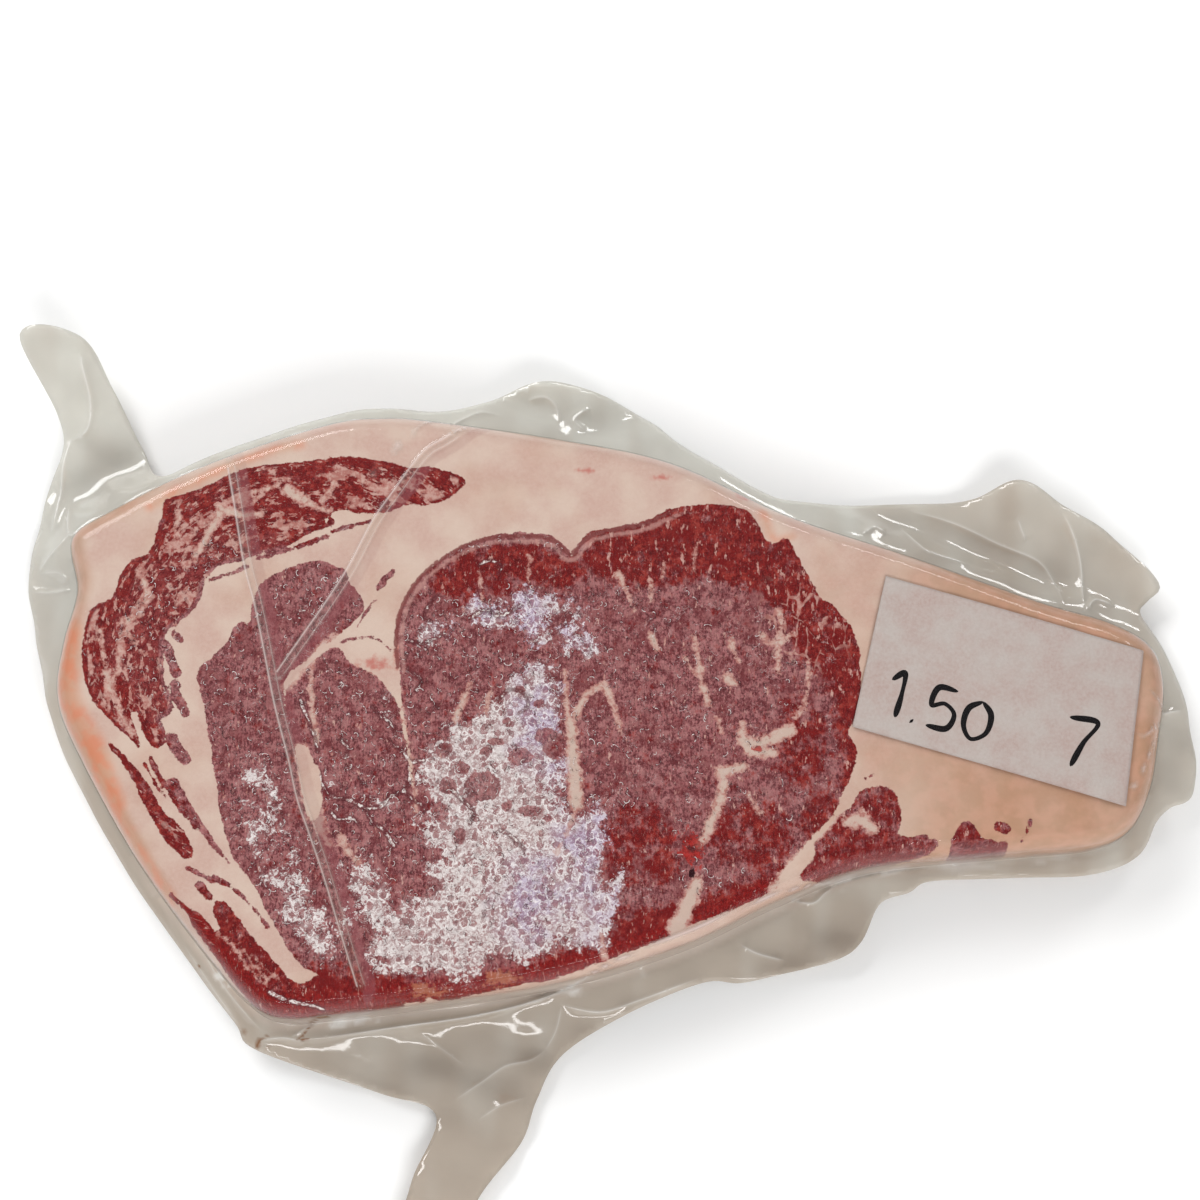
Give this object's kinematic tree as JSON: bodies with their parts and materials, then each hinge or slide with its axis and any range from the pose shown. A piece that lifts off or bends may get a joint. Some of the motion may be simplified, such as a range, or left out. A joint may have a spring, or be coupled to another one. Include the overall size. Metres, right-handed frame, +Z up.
{
  "type": "vacuum-packed raw beef rib steak",
  "caption": "Thick raw rib steak with its fat cap and long tail, sealed in a clear vacuum bag with spare film round it and a paper slip under the film.",
  "frame": {"origin": "on the floor, under the middle of the whole pack's bounding box", "axes": "+Z up, +X along the steak from its cap end to its fat tail, +Y away from a viewer who faces the slip the right way up"},
  "size_m": [0.3264, 0.2536, 0.0316],
  "materials": {
    "raw_beef": "moist cut beef, deep red lean with pinkish white fat, under film",
    "clear_film": "clear glossy vacuum film, creased",
    "paper": "thin uncoated paper, slightly damp"
  },
  "bodies": {
    "root": {"steak": "raw_beef", "vacuum_bag": "clear_film", "label": "paper"}
  },
  "joints": []
}
